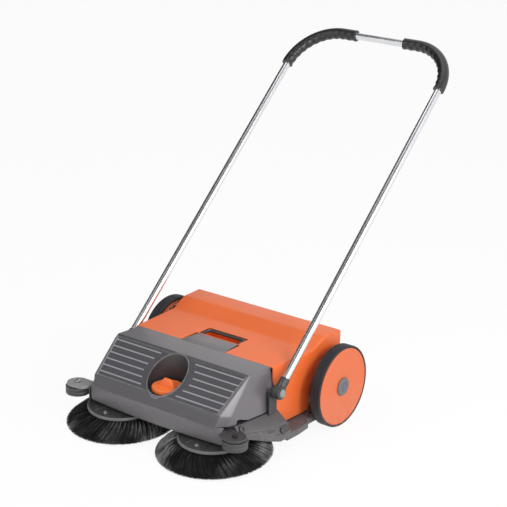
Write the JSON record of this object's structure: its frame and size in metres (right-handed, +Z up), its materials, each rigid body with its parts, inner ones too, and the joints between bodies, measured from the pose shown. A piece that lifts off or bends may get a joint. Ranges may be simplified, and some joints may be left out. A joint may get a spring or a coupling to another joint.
{
  "type": "manual floor sweeper",
  "caption": "Push sweeper with disc brooms driven by its wheels, a lift-out dirt hopper, a folding bow handle and a height knob.",
  "frame": {"origin": "on the floor, under the middle of the outline seen from above", "axes": "+Z up, the front with the brooms looks along -Y, +X is the right side as seen from the front"},
  "size_m": [0.6568, 1.1861, 0.9991],
  "materials": {
    "orange_plastic": "satin",
    "wheel_plastic": "satin",
    "dark_plastic": "satin",
    "grey_plastic": "satin",
    "nylon": "satin",
    "tyre_rubber": "matte",
    "belt_rubber": "matte",
    "bristles": "satin",
    "grip_foam": "matte",
    "chrome_tube": "polished",
    "zinc_steel": "satin"
  },
  "bodies": {
    "chassis": {"front_deck": "dark_plastic", "front_bumper": "dark_plastic", "front_cover": "dark_plastic", "rear_crossbar": "dark_plastic", "dirt_ramp": "belt_rubber", "chassis_side_right": "dark_plastic", "axle_bracket_right": "zinc_steel", "drive_belt_right": "belt_rubber", "idler_pin_right": "zinc_steel", "broom_pin_right": "zinc_steel", "roller_bracket_right": "dark_plastic", "roller_bolt_right": "zinc_steel", "pivot_bracket_right": "dark_plastic", "pivot_bolt_right": "grey_plastic", "chassis_side_left": "dark_plastic", "axle_bracket_left": "zinc_steel", "drive_belt_left": "belt_rubber", "idler_pin_left": "zinc_steel", "broom_pin_left": "zinc_steel", "roller_bracket_left": "dark_plastic", "roller_bolt_left": "zinc_steel", "pivot_bracket_left": "dark_plastic", "pivot_bolt_left": "grey_plastic"},
    "handle": {"handle_tube": "chrome_tube", "grip_right": "grip_foam", "grip_left": "grip_foam", "handle_socket_right": "dark_plastic", "handle_socket_left": "dark_plastic"},
    "wheel_right": {"tyre_right": "tyre_rubber", "wheel_right": "wheel_plastic", "ring_gear_right": "nylon", "hub_cap_right": "dark_plastic"},
    "drive_right": {"drive_pinion_right": "nylon", "drive_pulley_right": "nylon"},
    "upper_idler_right": {"upper_idler_right": "nylon"},
    "lower_idler_right": {"lower_idler_right": "nylon"},
    "broom_right": {"broom_disc_right": "grey_plastic", "broom_bristles_right": "bristles", "broom_pulley_right": "nylon"},
    "guide_roller_right": {"guide_roller_right": "grey_plastic"},
    "wheel_left": {"tyre_left": "tyre_rubber", "wheel_left": "wheel_plastic", "ring_gear_left": "nylon", "hub_cap_left": "dark_plastic"},
    "drive_left": {"drive_pinion_left": "nylon", "drive_pulley_left": "nylon"},
    "upper_idler_left": {"upper_idler_left": "nylon"},
    "lower_idler_left": {"lower_idler_left": "nylon"},
    "broom_left": {"broom_disc_left": "grey_plastic", "broom_bristles_left": "bristles", "broom_pulley_left": "nylon"},
    "guide_roller_left": {"guide_roller_left": "grey_plastic"},
    "height_knob": {"height_knob": "orange_plastic", "adjuster_spindle": "zinc_steel"},
    "caster_carriage": {"caster_carriage": "grey_plastic", "caster_axle": "zinc_steel"},
    "caster": {"caster_roller": "tyre_rubber"},
    "hopper": {"hopper_shell": "orange_plastic", "hopper_tub": "dark_plastic"},
    "bail": {"hopper_bail": "dark_plastic"}
  },
  "joints": [
    {"name": "handle_fold", "type": "hinge", "parent": "chassis", "child": "handle", "pos_m": [0, -0.29284, 0.172], "axis": [1, 0, 0], "range_deg": [0, 137]},
    {"name": "wheel_right_spin", "type": "hinge", "parent": "chassis", "child": "wheel_right", "pos_m": [0.308, -0.04534, 0.12], "axis": [1, 0, 0], "continuous": true},
    {"name": "drive_right_spin", "type": "hinge", "parent": "chassis", "child": "drive_right", "pos_m": [0.2425, -0.1005, 0.07372], "axis": [1, 0, 0], "continuous": true},
    {"name": "upper_idler_right_spin", "type": "hinge", "parent": "chassis", "child": "upper_idler_right", "pos_m": [0.2312, -0.25834, 0.0905], "axis": [0, 0, 1], "continuous": true},
    {"name": "lower_idler_right_spin", "type": "hinge", "parent": "chassis", "child": "lower_idler_right", "pos_m": [0.2312, -0.25834, 0.0745], "axis": [0, 0, 1], "continuous": true},
    {"name": "broom_right_spin", "type": "hinge", "parent": "chassis", "child": "broom_right", "pos_m": [0.165, -0.43334, 0.06], "axis": [0, -0.0698, 0.9976], "continuous": true},
    {"name": "guide_roller_right_spin", "type": "hinge", "parent": "chassis", "child": "guide_roller_right", "pos_m": [0.283, -0.49234, 0.0935], "axis": [0, 0, 1], "continuous": true},
    {"name": "wheel_left_spin", "type": "hinge", "parent": "chassis", "child": "wheel_left", "pos_m": [-0.308, -0.04534, 0.12], "axis": [1, 0, 0], "continuous": true},
    {"name": "drive_left_spin", "type": "hinge", "parent": "chassis", "child": "drive_left", "pos_m": [-0.2425, -0.1005, 0.07372], "axis": [1, 0, 0], "continuous": true},
    {"name": "upper_idler_left_spin", "type": "hinge", "parent": "chassis", "child": "upper_idler_left", "pos_m": [-0.2312, -0.25834, 0.0905], "axis": [0, 0, 1], "continuous": true},
    {"name": "lower_idler_left_spin", "type": "hinge", "parent": "chassis", "child": "lower_idler_left", "pos_m": [-0.2312, -0.25834, 0.0745], "axis": [0, 0, 1], "continuous": true},
    {"name": "broom_left_spin", "type": "hinge", "parent": "chassis", "child": "broom_left", "pos_m": [-0.165, -0.43334, 0.06], "axis": [0, -0.0698, 0.9976], "continuous": true},
    {"name": "guide_roller_left_spin", "type": "hinge", "parent": "chassis", "child": "guide_roller_left", "pos_m": [-0.283, -0.49234, 0.0935], "axis": [0, 0, 1], "continuous": true},
    {"name": "height_knob_turn", "type": "hinge", "parent": "chassis", "child": "height_knob", "pos_m": [0, -0.43334, 0.15], "axis": [0, 0, 1], "range_deg": [0, 270]},
    {"name": "caster_lift", "type": "slide", "parent": "chassis", "child": "caster_carriage", "axis": [0, 0, 1], "range_m": [0, 0.01]},
    {"name": "caster_spin", "type": "hinge", "parent": "caster_carriage", "child": "caster", "pos_m": [0, -0.30734, 0.025], "axis": [1, 0, 0], "continuous": true},
    {"name": "hopper_lift_out", "type": "slide", "parent": "chassis", "child": "hopper", "axis": [0, 0, 1], "range_m": [0, 0.28]},
    {"name": "bail_swing", "type": "hinge", "parent": "hopper", "child": "bail", "pos_m": [0, -0.19734, 0.2283], "axis": [1, 0, 0], "range_deg": [0, 90]}
  ],
  "couplings": [
    {"joint": "drive_right_spin", "follows": "wheel_right_spin", "ratio": 4},
    {"joint": "upper_idler_right_spin", "follows": "wheel_right_spin", "ratio": -5.5575},
    {"joint": "lower_idler_right_spin", "follows": "wheel_right_spin", "ratio": 5.5575},
    {"joint": "broom_right_spin", "follows": "wheel_right_spin", "ratio": -1.3593},
    {"joint": "drive_left_spin", "follows": "wheel_left_spin", "ratio": 4},
    {"joint": "upper_idler_left_spin", "follows": "wheel_left_spin", "ratio": 5.5575},
    {"joint": "lower_idler_left_spin", "follows": "wheel_left_spin", "ratio": -5.5575},
    {"joint": "broom_left_spin", "follows": "wheel_left_spin", "ratio": 1.3593},
    {"joint": "caster_lift", "follows": "height_knob_turn", "m_per_rad": 0.0021}
  ]
}
